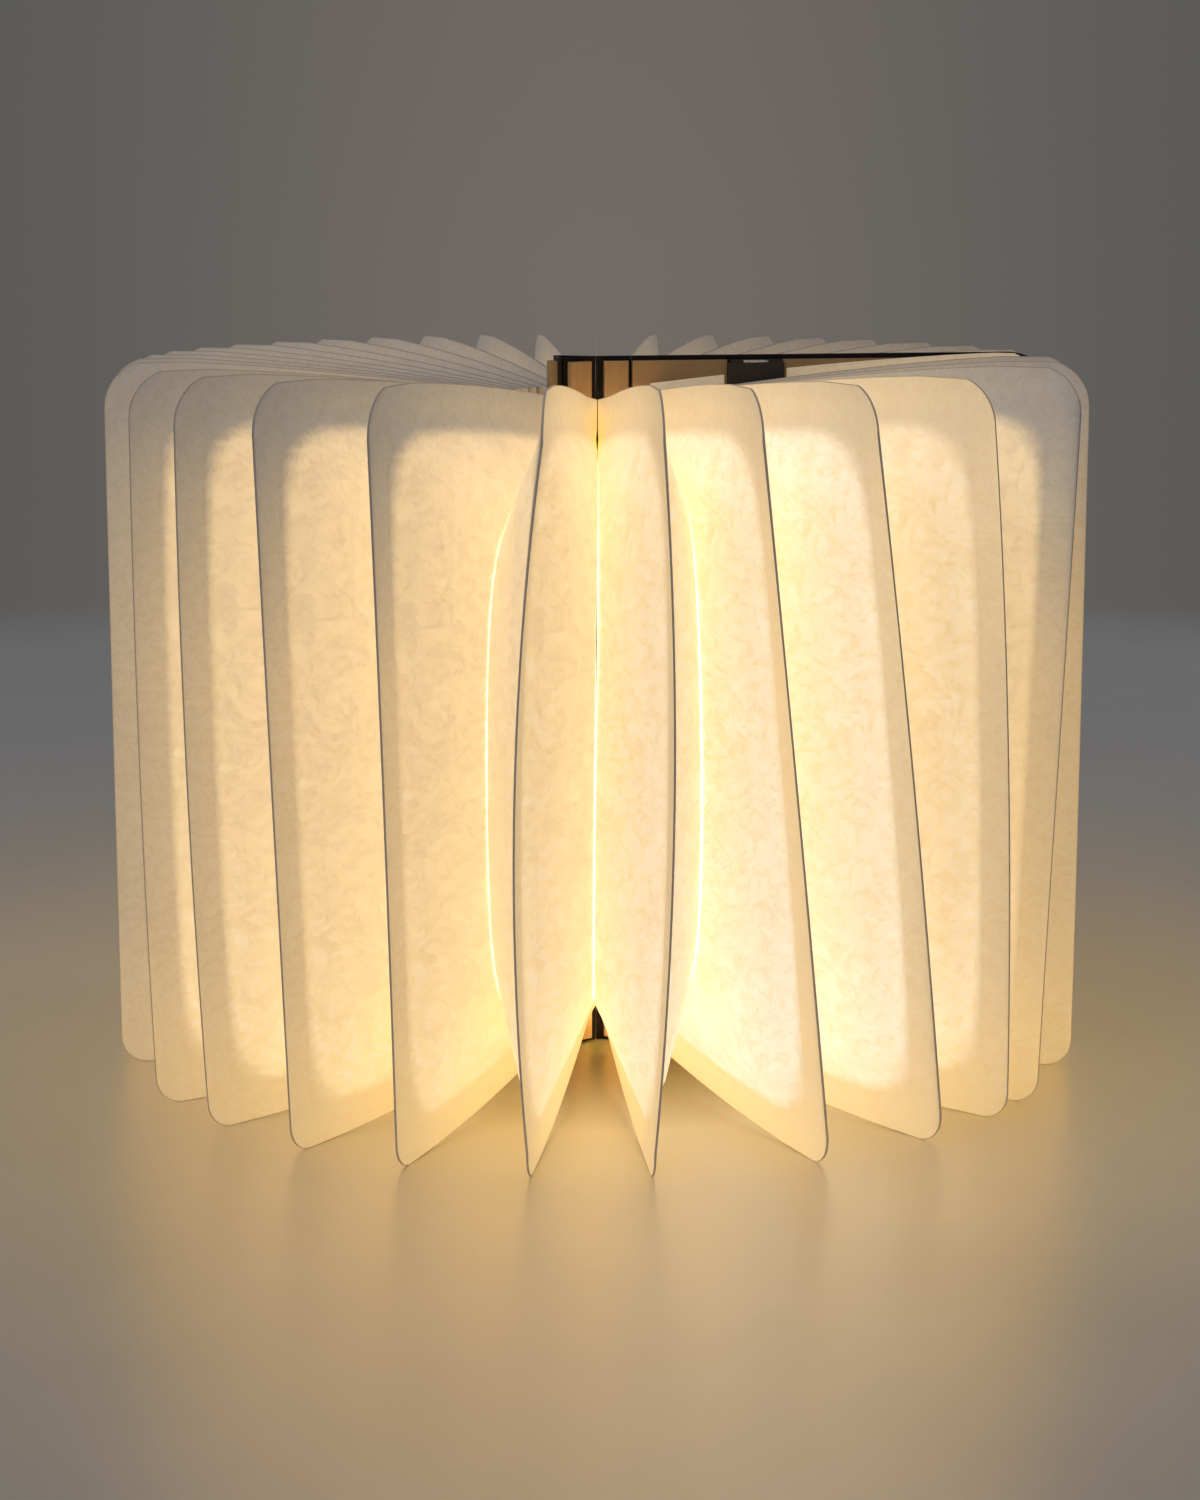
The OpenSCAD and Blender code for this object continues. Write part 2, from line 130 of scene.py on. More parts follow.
leafPaper = {
    "base": (0.85, 0.83, 0.80),        # colour of the paper itself
    "fibre": (0.77, 0.74, 0.69),       # darker fibres in it
    "cutEdgeShade": (0.56, 0.50, 0.46),     # its cut edge, painted darker as shade
    # the glow colours from band to hot are painted light: emission that stands in for the bar's light shining through
    # the paper
    "band": (0.60, 0.37, 0.11),        # light through the bonded band
    "gold": (0.72, 0.34, 0.02),        # light seen through the slits at the head
    "dim": (0.34, 0.215, 0.09),        # light through a sheet, far from the core
    "middle": (0.52, 0.345, 0.13),
    "bright": (0.62, 0.55, 0.43),
    "hot": (1.0, 0.95, 0.84),          # and a painted bright line where two leaves meet
    "roughness": 0.78,
    "clouds": 120,                     # noise scales of its look, per metre
    "threads": ((85, 2.4), (170, 3.2)),      # scale and distortion
    "tooth": 1500,
    "streaks": 900,
    "cutFrom": (0.08 * mm, 0.32 * mm),       # the cut edge fades into the face
    "windowFrom": (8.3 * mm, 11.6 * mm),     # and the band into the lit window
    "unevenness": (-0.13, 0.10),
    "endSheetLight": 0.45,
}


def paperMaterial(name, fromAttributes):
    sockets = {"Roughness": leafPaper["roughness"], "Specular IOR Level": 0.25, "Emission Strength": 1.0}
    material, tree, shader = newMaterial(name, sockets)
    if fromAttributes:
        flat = addNode(tree, "ShaderNodeUVMap", uv_map="flat").outputs["UV"]
        place = addNode(tree, "ShaderNodeMapping", {"Vector": flat, "Scale": (0.3333, 0.3333, 1)}).outputs["Vector"]
        edge, depth, lit, bandLit = (addNode(tree, "ShaderNodeAttribute", attribute_name=key).outputs["Fac"]
                                     for key in ("fromEdge", "depth", "lit", "bandLit"))
    else:
        place = stretched(tree, (1, 1, 1))
    clouds = noiseOf(tree, place, leafPaper["clouds"], 5, 0.65, 0.8)
    ridge = 0.0
    for scale, distortion in leafPaper["threads"]:
        thread = ridgeOf(tree, noiseOf(tree, place, scale, 2, 0.5, distortion), 0.07)
        ridge = mathOf(tree, "ADD", ridge, mathOf(tree, "MULTIPLY", thread, 0.5))
    fine = noiseOf(tree, place, leafPaper["tooth"], 2)
    along = addNode(tree, "ShaderNodeMapping", {"Vector": place, "Scale": (1, 0.08, 1)}).outputs["Vector"]
    streaks = noiseOf(tree, along, leafPaper["streaks"], 2)
    fibre = mathOf(tree, "ADD", mathOf(tree, "MULTIPLY", ridge, 0.4), mathOf(tree, "MULTIPLY", clouds, 0.6))
    body = mixOf(tree, rangeOf(tree, fibre, 0.35, 0.75), (*leafPaper["fibre"], 1), (*leafPaper["base"], 1))
    if fromAttributes:
        # painted shade: the cut edge is painted darker than the face
        cut = rangeOf(tree, edge, *leafPaper["cutFrom"])
        body = mixOf(tree, cut, (*leafPaper["cutEdgeShade"], 1), body)
        # painted glow: the bar's light through the sheets is painted as emission, set by the lit and bandLit attributes
        window = rangeOf(tree, depth, *leafPaper["windowFrom"], smooth=True)
        uneven = rangeOf(tree, fibre, 0.35, 0.85, *leafPaper["unevenness"])
        level = mathOf(tree, "ADD", lit, uneven)
        glow = rampOf(tree, level, [(0.0, leafPaper["gold"]), (0.12, leafPaper["dim"]), (0.35, leafPaper["middle"]),
                                    (0.7, leafPaper["bright"]), (1.0, leafPaper["hot"])])
        light = mixOf(tree, window, mixOf(tree, bandLit, (0, 0, 0, 1), (*leafPaper["band"], 1)), glow)
        # painted shade: the glow is dimmed along the cut edge
        light = mixOf(tree, rangeOf(tree, cut, 0, 1, 0.2, 1.0), (0, 0, 0, 1), light)
    else:
        # end sheets get a steady painted glow as emission, standing in for the bar's light through them
        light = mixOf(tree, fibre, (*leafPaper["dim"], 1), (*leafPaper["middle"], 1))
        light = mixOf(tree, leafPaper["endSheetLight"], (0, 0, 0, 1), light)
    tree.links.new(light, shader.inputs["Emission Color"])
    tree.links.new(body, shader.inputs["Base Color"])
    small = mathOf(tree, "ADD", mathOf(tree, "MULTIPLY", fine, 0.2), mathOf(tree, "MULTIPLY", streaks, 0.2))
    height = mathOf(tree, "ADD", mathOf(tree, "MULTIPLY", fibre, 0.7), small)
    bumpOf(tree, shader, height, 0.35, 0.00025)
    return material


leafShape = {
    "ringRadius": 149 * mm,
    "height": 215 * mm,
    "sheet": 0.3 * mm,
    "band": 10 * mm,
    "corner": 14 * mm,
    "footCorner": 8 * mm,
    "swellCorner": 2.4,       # lower is rounder
    "windowCorner": 1.9,
    "windowBands": (0.97, 1.3, 1.0),      # width at the fore-edge, the head and the foot, in bands
    "swell": 0.58,
    "headDrop": 15 * mm,
    "headPower": 1.45,        # how the head's fall gathers near the core
    "footRise": 17 * mm,
    "footPower": 1.8,
    "coreRadius": 16 * mm,
    "barRadius": 27.19 * mm,
    "endSheet": 3.65 * mm,    # from the middle plane of the covers to an end sheet
    "clear": 0.3 * mm,
    "lift": 0.75 * mm,
    "stackPitch": 0.0784884 * mm,
    "barReach": 5.2 * mm,
    "waviness": 0.07,
    "flare": 3.5 * mm,
    "flareReach": 24 * mm,
    "rows": 44,
    "innerColumns": 4,
    "windowColumns": 15,
    "columnPower": 2.2,       # columns stand closer next to the valley
    "wall": 0.24 * mm,
}
# how much painted glow a place on a sheet gets, as a share of the glow colours; it stands in for the bar's light
# through the paper
leafLight = {
    "everywhere": 0.37,
    "frontShare": 0.24, "frontAngle": 106, "frontSpread": 26,      # more on the leaves in front of the bar
    "lowShare": 0.05, "lowAt": 0.2, "lowSpread": 0.28,             # more at a fifth of the height
    "highShare": 0.10, "highFrom": 0.72,                           # less at the head
    "facingShare": 0.18, "facingReach": 22 * mm,      # facing sheets light each other, so they need less there
    "seamShare": 0.42, "seamReach": 0.26 * mm,        # a painted thin bright line in the valley
    "slitShare": 0.9, "slitReach": 1.3 * mm, "slitDepth": 12 * mm, "slitHalf": 8 * mm,      # painted gold light through the slit at the head
    "headBand": ((-180, 0), (60, 0.02), (70, 0.45), (120, 0.45), (134, 0.5), (146, 0.02), (180, 0)),      # by angle
    "sideBand": ((-180, 0.25), (0, 0.11), (45, 0.3), (57, 0.36), (88, 0.36), (101, 0.6), (116, 0.42), (132, 0.36),
                 (180, 0.25)),
    "footBand": (0.20, 0.25),      # more along the foot, and more still near the core
}
# angles at head, middle and foot, in degrees from the ring's left point towards the front
frontLeaves = [
    (0, 0, 1), (16.5, 17, 19.9), (28.3, 29.2, 32), (41.7, 43.5, 45.3), (56.4, 57.7, 58.7), (74.9, 71.9, 73.1),
    (87.2, 88.4, 86.5), (97.5, 101.7, 105.7), (110.7, 116.2, 121.1), (127.9, 131.9, 133.3), (151.7, 145.5, 141.1),
    (162.5, 161.4, 158), (173, 173, 171)]
backPitch, loosePitch, backCount, looseCount = 8.3, 10, 20, 3
leafAngles = [(-backPitch * min(k, backCount - looseCount) - loosePitch * max(0, k - backCount + looseCount),) * 3
              for k in range(backCount, 0, -1)] + frontLeaves
ringRadius, taperRadius = leafShape["ringRadius"], leafShape["ringRadius"] - leafShape["corner"]


def sinDegrees(value):
    return math.sin(math.radians(value))


def arcSin(value):
    return math.degrees(math.asin(max(-0.99, min(0.99, value))))


def cornerCut(r, corner):
    past = r - ringRadius + corner
    return 0 if past <= 0 else corner - math.sqrt(max(0, corner * corner - past * past))


def headLine(r):
    return leafShape["height"] - leafShape["headDrop"] * max(0, 1 - r / taperRadius) ** leafShape["headPower"]


def footLine(r):
    return leafShape["footRise"] * max(0, 1 - r / (ringRadius - leafShape["footCorner"])) ** leafShape["footPower"]


def headZ(r):
    return headLine(r) - cornerCut(r, leafShape["corner"])


def footZ(r):
    return footLine(r) + cornerCut(r, leafShape["footCorner"])


def leafZ(r, t):
    return mix(footZ(r), headZ(r), t)


def standAt(i, r, t):
    head, middle, foot = leafAngles[i]
    u = t - 0.5
    angle = middle + (head - foot) * u + 2 * (head + foot - 2 * middle) * u * u
    most = 180 - arcSin((leafShape["endSheet"] + leafShape["lift"]) / r)
    return max(-most, min(most, angle))


def beginsAt(i):
    if abs(leafAngles[i][1]) * leafShape["stackPitch"] < leafShape["barReach"]:
        return leafShape["barRadius"]
    if i in (0, len(leafAngles) - 1):
        return leafShape["coreRadius"] + 4 * mm
    return leafShape["coreRadius"]


def roomAt(i, side, r, t):
    n = i + side
    if n < 0 or n >= len(leafAngles):
        return 180 - arcSin((leafShape["endSheet"] + leafShape["clear"]) / r) - side * standAt(i, r, t)
    return side * (standAt(n, r, t) - standAt(i, r, t)) / 2 - arcSin(leafShape["clear"] / 2 / r)


def softLeast(r, t, power, shares=(1, 1, 1)):      # distance to the nearest edge, round at the corners
    z = leafZ(r, t)
    gaps = (ringRadius - r, headLine(r) - z, z - footLine(r))
    return sum(max(0.01 * mm, g / share) ** -power for g, share in zip(gaps, shares)) ** (-1 / power)


def fromEdge(r, t):
    return softLeast(r, t, leafShape["swellCorner"])


def trueFromEdge(r, t):      # to the cut edge itself, round corners included
    z = leafZ(r, t)
    for corner, beyond in ((leafShape["corner"], z - leafShape["height"] + leafShape["corner"]),
                           (leafShape["footCorner"], leafShape["footCorner"] - z)):
        past = r - ringRadius + corner
        if past > 0 and beyond > 0:
            return corner - math.hypot(past, beyond)
    return min(ringRadius - r, headZ(r) - z, z - footZ(r))


def flareAt(r, t):      # next to the core neighbouring leaves close up at the head, and above the foot
    near = max(0, 1 - (r - leafShape["coreRadius"]) / leafShape["flareReach"])
    z = leafZ(r, t)
    head = max(0, 1 - max(0, headZ(r) - z - 3 * mm) / (13 * mm))
    foot = min(1, max(0, (z - footZ(r)) / (4 * mm))) * max(0, 1 - max(0, z - footZ(r) - 10 * mm) / (10 * mm))
    return leafShape["flare"] * near ** 2 * max(head, foot)


def bulgeAt(i, side, r, t):
    wave = noise.noise(Vector((r * 22, t * 3.1 + i * 5.3, side * 2.7 + i)))
    depth = max(0, fromEdge(r, t) - leafShape["band"])
    swelled = leafShape["swell"] * depth * (1 + leafShape["waviness"] * wave)
    return leafShape["sheet"] + max(swelled, flareAt(r, t))


def valleyAt(i, side, t):
    low, high = beginsAt(i), taperRadius
    for _ in range(16):
        m = (low + high) / 2
        if bulgeAt(i, side, m, t) > m * sinDegrees(roomAt(i, side, m, t)):
            low = m
        else:
            high = m
    return low


def swingAt(i, side, r, t):
    return min(roomAt(i, side, r, t), arcSin(bulgeAt(i, side, r, t) / r))


# painted glow level at a place on a leaf, standing in for the bar's light through the paper
def litAt(i, r, t, valley):
    light = leafLight
    past = max(0, r - valley)
    seam = math.exp(-past / light["seamReach"])
    facing = math.exp(-past / light["facingReach"])
    front = math.exp(-((standAt(i, r, t) - light["frontAngle"]) / light["frontSpread"]) ** 2)
    low = math.exp(-((t - light["lowAt"]) / light["lowSpread"]) ** 2)
    high = max(0, t - light["highFrom"]) / (1 - light["highFrom"])
    slit = max(0, 1 - abs(headZ(r) - leafZ(r, t) - light["slitDepth"]) / light["slitHalf"])
    slit *= math.exp(-(past / light["slitReach"]) ** 2)
    more = light["frontShare"] * front + light["lowShare"] * low + light["seamShare"] * seam * (1 - high)
    less = light["facingShare"] * facing + light["highShare"] * high + light["slitShare"] * slit
    return light["everywhere"] + more - less


def curveAt(points, x):
    for (x0, y0), (x1, y1) in zip(points, points[1:]):
        if x <= x1:
            return mix(y0, y1, (x - x0) / (x1 - x0))
    return points[-1][1]


def bandLitAt(i, r, t):      # how much of that painted light the bonded band lets through
    angle = leafAngles[i][1]
    z = leafZ(r, t)
    low = max(0, min(1, (205 * mm - z) / (75 * mm)))
    foot = math.exp(-(max(0, z - 6 * mm) / (30 * mm)) ** 2)
    inner = 1 - min(1, max(0, (r - 40 * mm) / (95 * mm)))
    body = mix(curveAt(leafLight["headBand"], angle), curveAt(leafLight["sideBand"], angle), low ** 1.4)
    footShare, innerShare = leafLight["footBand"]
    return min(1, body + foot * (footShare + innerShare * inner))


def leafColumns(i, valley):      # radii from the mouth of the leaf to its fore-edge
    start = beginsAt(i)
    bandStart = ringRadius - leafShape["band"]
    inner, window = leafShape["innerColumns"], leafShape["windowColumns"]
    columns = [mix(start, valley, n / inner) for n in range(inner)]
    columns += [mix(valley, bandStart, (n / window) ** leafShape["columnPower"]) for n in range(window)]
    return columns + [ringRadius - leafShape["band"] * share for share in (1, 0.78, 0.56, 0.36, 0.2, 0.1, 0.035, 0)]


def leafMesh(i, name):
    rows = leafShape["rows"]
    shares = [0.5 - 0.5 * math.cos(math.pi * j / rows) for j in range(rows + 1)]
    points, edges, depths, lights, bands, flats, faces = [], [], [], [], [], [], []
    count = 0
    for side in (-1, 1):
        for t in shares:
            valley = min(taperRadius - 4 * mm, max(beginsAt(i) + 6 * mm, valleyAt(i, side, t)))
            columns = leafColumns(i, valley)
            count = len(columns)
            for r in columns:
                angle = math.radians(standAt(i, r, t) + side * swingAt(i, side, r, t))
                z = leafZ(r, t)
                points.append((-r * math.cos(angle), -r * math.sin(angle), z))
                edges.append(max(0, trueFromEdge(r, t)))
                depths.append(softLeast(r, t, leafShape["windowCorner"], leafShape["windowBands"]))
                lights.append(litAt(i, r, t, valley))
                bands.append(bandLitAt(i, r, t))
                flats.append((0.5 + side * r * 3, z * 3))
    last = count - 1

    def at(s, j, k):
        return (s * (rows + 1) + j) * count + k

    for j in range(rows):
        for k in range(last):
            faces.append((at(1, j, k), at(1, j + 1, k), at(1, j + 1, k + 1), at(1, j, k + 1)))
            faces.append((at(0, j, k), at(0, j, k + 1), at(0, j + 1, k + 1), at(0, j + 1, k)))
        faces.append((at(0, j, last), at(1, j, last), at(1, j + 1, last), at(0, j + 1, last)))
    for k in range(last):
        faces.append((at(0, rows, k), at(0, rows, k + 1), at(1, rows, k + 1), at(1, rows, k)))
        faces.append((at(0, 0, k), at(1, 0, k), at(1, 0, k + 1), at(0, 0, k + 1)))
    mesh = bpy.data.meshes.new(name)
    mesh.from_pydata(points, [], faces)
    for key, values in (("fromEdge", edges), ("depth", depths), ("lit", lights), ("bandLit", bands)):
        mesh.attributes.new(key, "FLOAT", "POINT").data.foreach_set("value", values)
    layer = mesh.uv_layers.new(name="flat")
    for loop in mesh.loops:
        layer.data[loop.index].uv = flats[loop.vertex_index]
    mesh.update()
    return mesh


def selectOnly(thing):
    bpy.ops.object.select_all(action="DESELECT")
    thing.select_set(True)
    bpy.context.view_layer.objects.active = thing


leafPaperMaterial = paperMaterial("glowingPaper", True)
bodyOf = {node: body for body, members in frame["record"]["behaviour"]["bodies"].items() for node in members}

for i, (head, middle, foot) in enumerate(leafAngles):
    node = "leaf_%02d" % (i + 1)
    leaf = bpy.data.objects.new("paper_" + node, leafMesh(i, "paper_" + node))
    bpy.context.collection.objects.link(leaf)
    leaf.data.materials.append(leafPaperMaterial)
    selectOnly(leaf)
    wall = leaf.modifiers.new("wall", "SOLIDIFY")
    wall.thickness = leafShape["wall"]
    wall.offset = -1
    bpy.ops.object.modifier_apply(modifier="wall")
    bpy.ops.object.shade_smooth_by_angle(angle=math.radians(32))
    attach(leaf, bodyOf[node])
    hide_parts(node)
    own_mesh(leaf)
print("leaves made:", len(leafAngles))


boardFinish = {"light": (0.46, 0.31, 0.16), "dark": (0.36, 0.235, 0.115), "pore": (0.33, 0.21, 0.10), "roughness": 0.62}


def boardMaterial():
    material, tree, shader = newMaterial("tanBoard", {"Roughness": boardFinish["roughness"], "Specular IOR Level": 0.3})
    grain = noiseOf(tree, stretched(tree, (1, 1, 0.035)), 900, 5, 0.6, 0.3)
    broad = noiseOf(tree, stretched(tree, (1, 1, 0.15)), 60, 3, 0.5, 0.8)
    pores = noiseOf(tree, stretched(tree, (1, 1, 0.12)), 2600, 2)
    colour = mixOf(tree, rangeOf(tree, broad, 0.3, 0.7), (*boardFinish["dark"], 1), (*boardFinish["light"], 1))
    colour = mixOf(tree, rangeOf(tree, grain, 0.35, 0.62, 0.55, 0.0), colour, (*boardFinish["dark"], 1))
    colour = mixOf(tree, rangeOf(tree, pores, 0.64, 0.74, 0.0, 0.6), colour, (*boardFinish["pore"], 1))
    tree.links.new(colour, shader.inputs["Base Color"])
    bumpOf(tree, shader, mathOf(tree, "ADD", grain, pores), 0.25, 0.0002)
    return material


skinFinish = {"crease": (0.004, 0.003, 0.0025), "top": (0.012, 0.008, 0.006), "worn": (0.026, 0.018, 0.014),
              "roughness": (0.45, 0.62), "grain": 900}


def skinMaterial():
    material, tree, shader = newMaterial("darkSkin", {"Specular IOR Level": 0.25})
    place = stretched(tree, (1, 1, 1))
    drift = addNode(tree, "ShaderNodeTexNoise", {"Vector": place, "Scale": 400}).outputs["Color"]
    warped = mixOf(tree, 0.02, place, drift)
    cells = addNode(tree, "ShaderNodeTexVoronoi", {"Vector": warped, "Scale": skinFinish["grain"]},
                    feature="DISTANCE_TO_EDGE").outputs["Distance"]
    pebble = rangeOf(tree, cells, 0.0, 0.22, smooth=True)
    wear = noiseOf(tree, place, 38, 4)
    colour = mixOf(tree, pebble, (*skinFinish["crease"], 1), (*skinFinish["top"], 1))
    colour = mixOf(tree, rangeOf(tree, wear, 0.5, 0.8, 0.0, 0.3), colour, (*skinFinish["worn"], 1))
    tree.links.new(colour, shader.inputs["Base Color"])
    tree.links.new(rangeOf(tree, wear, 0.3, 0.7, *skinFinish["roughness"]), shader.inputs["Roughness"])
    bumpOf(tree, shader, pebble, 0.5, 0.00015)
    return material


def metalMaterial(name, colour, roughness, streak):
    material, tree, shader = newMaterial(name, {"Metallic": 1.0, "Roughness": roughness, "Base Color": (*colour, 1)})
    lines = noiseOf(tree, stretched(tree, (1, 1, streak)), 1800, 3)
    tree.links.new(rangeOf(tree, lines, 0.3, 0.7, roughness * 0.8, roughness * 1.25), shader.inputs["Roughness"])
    darker = tuple(c * 0.88 for c in colour) + (1,)
    tree.links.new(mixOf(tree, lines, darker, (*colour, 1)), shader.inputs["Base Color"])
    bumpOf(tree, shader, lines, 0.15, 0.00005)
    return material


def plasticMaterial(name, colour, roughness, emission=None, strength=0.0):
    material, tree, shader = newMaterial(name, {"Roughness": roughness, "Base Color": (*colour, 1)})
    speckle = noiseOf(tree, stretched(tree, (1, 1, 1)), 1400, 3)
    patches = noiseOf(tree, stretched(tree, (1, 1, 1)), 70, 3)
    darker = tuple(c * 0.9 for c in colour) + (1,)
    gloss = rangeOf(tree, patches, 0.3, 0.7, roughness * 0.85, min(1, roughness * 1.15))
    tree.links.new(mixOf(tree, patches, darker, (*colour, 1)), shader.inputs["Base Color"])
    tree.links.new(gloss, shader.inputs["Roughness"])
    bumpOf(tree, shader, speckle, 0.2, 0.00006)
    if emission:
        shader.inputs["Emission Color"].default_value = (*emission, 1)
        shader.inputs["Emission Strength"].default_value = strength
    return material


def circuitMaterial(name, board, track):
    material, tree, shader = newMaterial(name, {"Roughness": 0.42})
    lines = addNode(tree, "ShaderNodeTexBrick", {
        "Vector": stretched(tree, (1, 1, 1)), "Scale": 260, "Mortar Size": 0.06, "Color1": (*board, 1),
        "Color2": tuple(c * 0.85 for c in board) + (1,), "Mortar": (*track, 1)}).outputs["Color"]
    tree.links.new(lines, shader.inputs["Base Color"])
    bumpOf(tree, shader, noiseOf(tree, stretched(tree, (1, 1, 1)), 1200, 2), 0.1, 0.00005)
    return material


endPaper = paperMaterial("endPaper", False)
finishes = {
    "tan_board": boardMaterial(),
    "dark_skin": skinMaterial(),
    "end_sheet": endPaper,
    "leaf_paper": endPaper,
    "magnet": metalMaterial("nickelMagnet", (0.62, 0.61, 0.60), 0.22, 1),
    "socket": metalMaterial("socketSteel", (0.60, 0.61, 0.63), 0.3, 0.1),
    "inlet_plastic": plasticMaterial("inletPlastic", (0.030, 0.024, 0.020), 0.5),
    "bar_aluminium": metalMaterial("brushedAluminium", (0.78, 0.78, 0.77), 0.36, 0.02),
    "diffuser": plasticMaterial("barDiffuser", (0.93, 0.88, 0.76), 0.5, (1.0, 0.74, 0.36), 1.6),
    "cap_plastic": plasticMaterial("capPlastic", (0.72, 0.70, 0.66), 0.45),
    "circuit": circuitMaterial("ledBoard", (0.80, 0.80, 0.77), (0.66, 0.50, 0.24)),
    "control_circuit": circuitMaterial("controlBoard", (0.03, 0.13, 0.055), (0.40, 0.30, 0.12)),
    "led": plasticMaterial("ledPhosphor", (0.95, 0.70, 0.22), 0.3, (1.0, 0.72, 0.30), 2.0),
    "cell": plasticMaterial("cellSleeve", (0.10, 0.24, 0.42), 0.35),
}
for part in frame["record"]["subparts"]:
    thing = nodes[part["node"]]
    thing.data.materials.clear()
    thing.data.materials.append(finishes[part["material_slot"]])
print("finishes set:", len(finishes))


stageSizes = {"floorRadius": 9.0, "paleUntil": 0.87, "backdropFrom": 1.10}
floorFinish = {"roughness": 0.32, "ior": 3.0, "tint": (1.0, 0.88, 0.72)}
# the backdrop is painted warmer and brighter behind the lamp and darker to the sides: a painted glow of the lamp's
# light
stageColours = {"floor": (0.46, 0.455, 0.45), "backdropGlowLow": (0.168, 0.148, 0.130),
                "backdropGlowHigh": (0.160, 0.140, 0.123), "backdropSide": (0.108, 0.105, 0.101)}

# the lamp's own light on the table
pool = {"height": 0.05, "power": 5.0, "colour": (1.0, 0.57, 0.04), "radius": 0.05, "paintedShadeWithin": 0.1}

view = {"azimuth": -9.6, "distance": 0.9966, "height": 0.27505, "down": 10.361, "lens": 78.0, "aside": 0.00098}
azimuth = math.radians(view["azimuth"])
cameraPlace = (view["distance"] * math.sin(azimuth), -view["distance"] * math.cos(azimuth), view["height"])


def asideOf(tree, sight):      # how far to the side of the lamp this line of sight goes
    across = addNode(tree, "ShaderNodeVectorMath", {0: sight, 1: (math.cos(azimuth), math.sin(azimuth), 0)},
                     operation="DOT_PRODUCT").outputs["Value"]
    return rangeOf(tree, mathOf(tree, "ABSOLUTE", across), 0.0, 0.2, smooth=True)


bpy.ops.object.select_all(action="DESELECT")
bpy.ops.mesh.primitive_circle_add(vertices=128, radius=stageSizes["floorRadius"], fill_type="NGON", location=(0, 0, 0))
floor = bpy.context.object
floor.name = "table_top"
floorMaterial = bpy.data.materials.new("paleTable")
floorMaterial.use_nodes = True
tree = floorMaterial.node_tree
shader = tree.nodes["Principled BSDF"]
place = addNode(tree, "ShaderNodeTexCoord").outputs["Object"]
mottle = noiseOf(tree, place, 14, 5)
slanted = addNode(tree, "ShaderNodeMapping", {"Vector": place, "Scale": (1, 6, 1), "Rotation": (0, 0, 0.5)})
scratch = noiseOf(tree, slanted.outputs["Vector"], 30, 3, 0.5, 1.5)
lines = ridgeOf(tree, scratch, 0.006)
shader.inputs["Roughness"].default_value = floorFinish["roughness"]
shader.inputs["IOR"].default_value = floorFinish["ior"]
shader.inputs["Specular Tint"].default_value = (*floorFinish["tint"], 1)
colour = mixOf(tree, rangeOf(tree, mottle, 0.3, 0.7, 0.92, 1.0), (0, 0, 0, 1), (*stageColours["floor"], 1))
colour = mixOf(tree, rangeOf(tree, lines, 0, 1, 0.96, 1.0), (0, 0, 0, 1), colour)
far = addNode(tree, "ShaderNodeVectorMath", {0: place}, operation="LENGTH").outputs["Value"]
# painted shade: the table's colour is painted darker under the lamp, so the pool light does not burn it out there
paintedShadeUnderLamp = mathOf(tree, "ADD", mathOf(tree, "MULTIPLY", far, far), pool["height"] ** 2)
paintedShadeUnderLamp = mathOf(tree, "DIVIDE", paintedShadeUnderLamp, pool["paintedShadeWithin"] ** 2 + pool["height"] ** 2)
paintedShadeUnderLamp = mathOf(tree, "POWER", mathOf(tree, "MINIMUM", paintedShadeUnderLamp, 1.0), 1.5)
colour = mixOf(tree, paintedShadeUnderLamp, (0, 0, 0, 1), colour)
tree.links.new(colour, shader.inputs["Base Color"])
backdrop = rangeOf(tree, far, stageSizes["paleUntil"], stageSizes["backdropFrom"], smooth=True)
seen = addNode(tree, "ShaderNodeLightPath")
cameraOnly = mathOf(tree, "MULTIPLY", backdrop, seen.outputs["Is Camera Ray"])
sight = addNode(tree, "ShaderNodeVectorMath", {0: place, 1: cameraPlace}, operation="SUBTRACT").outputs["Vector"]
sight = addNode(tree, "ShaderNodeVectorMath", {0: sight}, operation="NORMALIZE").outputs["Vector"]
# painted glow: the backdrop shown to the camera is warmer behind the lamp and darker to the sides
wallColour = mixOf(tree, asideOf(tree, sight), (*stageColours["backdropGlowLow"], 1), (*stageColours["backdropSide"], 1))
wall = addNode(tree, "ShaderNodeEmission", {"Color": wallColour, "Strength": 1.0})
both = addNode(tree, "ShaderNodeMixShader", {0: cameraOnly, 1: shader.outputs[0], 2: wall.outputs[0]})
tree.links.new(both.outputs[0], tree.nodes["Material Output"].inputs["Surface"])
floor.data.materials.append(floorMaterial)

world = bpy.data.worlds.new("studio")
bpy.context.scene.world = world
world.use_nodes = True
tree = world.node_tree
background = tree.nodes["Background"]
background.inputs["Color"].default_value = (0.165, 0.175, 0.195, 1)
sight = addNode(tree, "ShaderNodeTexCoord").outputs["Generated"]
height = addNode(tree, "ShaderNodeSeparateXYZ", {0: sight}).outputs["Z"]
# the same painted glow behind the lamp on the world's backdrop
shownColour = mixOf(tree, rangeOf(tree, height, -0.03, 0.05), (*stageColours["backdropGlowLow"], 1),
                    (*stageColours["backdropGlowHigh"], 1))
shownColour = mixOf(tree, asideOf(tree, sight), shownColour, (*stageColours["backdropSide"], 1))
shown = addNode(tree, "ShaderNodeBackground", {"Color": shownColour, "Strength": 1.0})
path = addNode(tree, "ShaderNodeLightPath")
both = addNode(tree, "ShaderNodeMixShader",
               {0: path.outputs["Is Camera Ray"], 1: background.outputs[0], 2: shown.outputs[0]})
tree.links.new(both.outputs[0], tree.nodes["World Output"].inputs["Surface"])

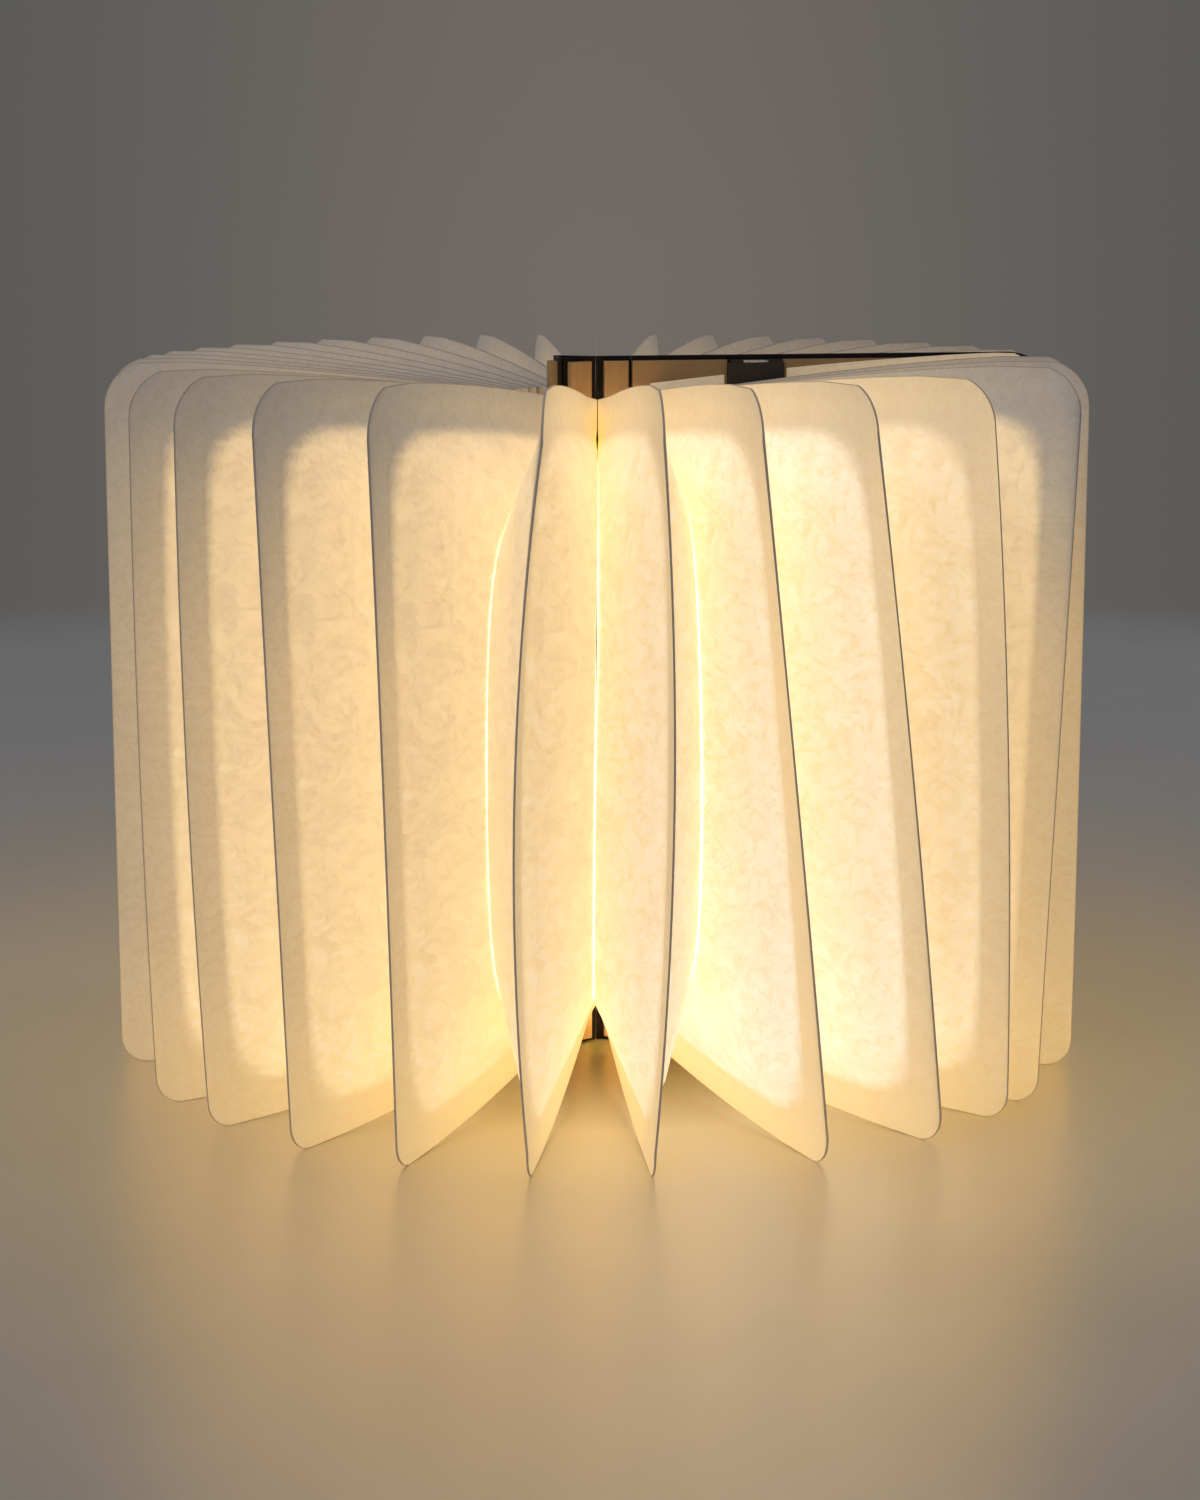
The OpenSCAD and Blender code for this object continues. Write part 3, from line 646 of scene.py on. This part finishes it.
def addLight(name, kind, place, power, colour, size, inGloss=True):
    data = bpy.data.lights.new(name, kind)
    data.energy, data.color = power, colour
    if kind == "AREA":
        data.size = size
    else:
        data.shadow_soft_size = size
    light = bpy.data.objects.new(name, data)
    bpy.context.collection.objects.link(light)
    light.location = place
    light.visible_glossy = inGloss
    return light


lamps = {
    "softbox": {"place": (-0.9, -0.7, 1.7), "aim": (0, 0, 0.1), "size": 1.3, "power": 5.5, "colour": (0.93, 0.96, 1.0)},
    "fill": {"place": (1.4, 0.9, 1.5), "aim": (0, 0, 0.1), "size": 1.4, "power": 3.0, "colour": (1.0, 0.97, 0.93)},
}
for name, lamp in lamps.items():
    light = addLight(name, "AREA", lamp["place"], lamp["power"], lamp["colour"], lamp["size"])
    light.rotation_euler = (Vector(lamp["aim"]) - light.location).to_track_quat("-Z", "Y").to_euler()

# the light bar's glow on the spine and the leaves: places in mm, and power by height
coreLight = {"places": [(3, -8.5), (3, 8.5)], "colour": (1.0, 0.60, 0.17), "radius": 3,
             "heights": {9: 0.004, 30: 0.04, 60: 0.045, 100: 0.045, 140: 0.045, 175: 0.03}}
for x, y in coreLight["places"]:
    for z, power in coreLight["heights"].items():
        addLight("core", "POINT", (x * mm, y * mm, z * mm), power, coreLight["colour"], coreLight["radius"] * mm, False)

light = addLight("pool", "POINT", (0, 0, pool["height"]), pool["power"], pool["colour"], pool["radius"], False)
litByPool = bpy.data.collections.new("litByPool")
litByPool.objects.link(floor)
light.light_linking.receiver_collection = litByPool
light.light_linking.blocker_collection = litByPool

camera = bpy.data.objects.new("camera", bpy.data.cameras.new("camera"))
bpy.context.collection.objects.link(camera)
camera.location = cameraPlace
towards = Vector((-math.sin(azimuth), math.cos(azimuth), -math.tan(math.radians(view["down"]))))
towards += Vector((math.cos(azimuth), math.sin(azimuth), 0)) * view["aside"] / view["distance"]
camera.rotation_euler = towards.to_track_quat("-Z", "Y").to_euler()
camera.data.lens = view["lens"]
camera.data.clip_start, camera.data.clip_end = 0.05, 40
bpy.context.scene.camera = camera
bpy.context.scene.view_settings.view_transform = "Standard"
print("stage and camera set")
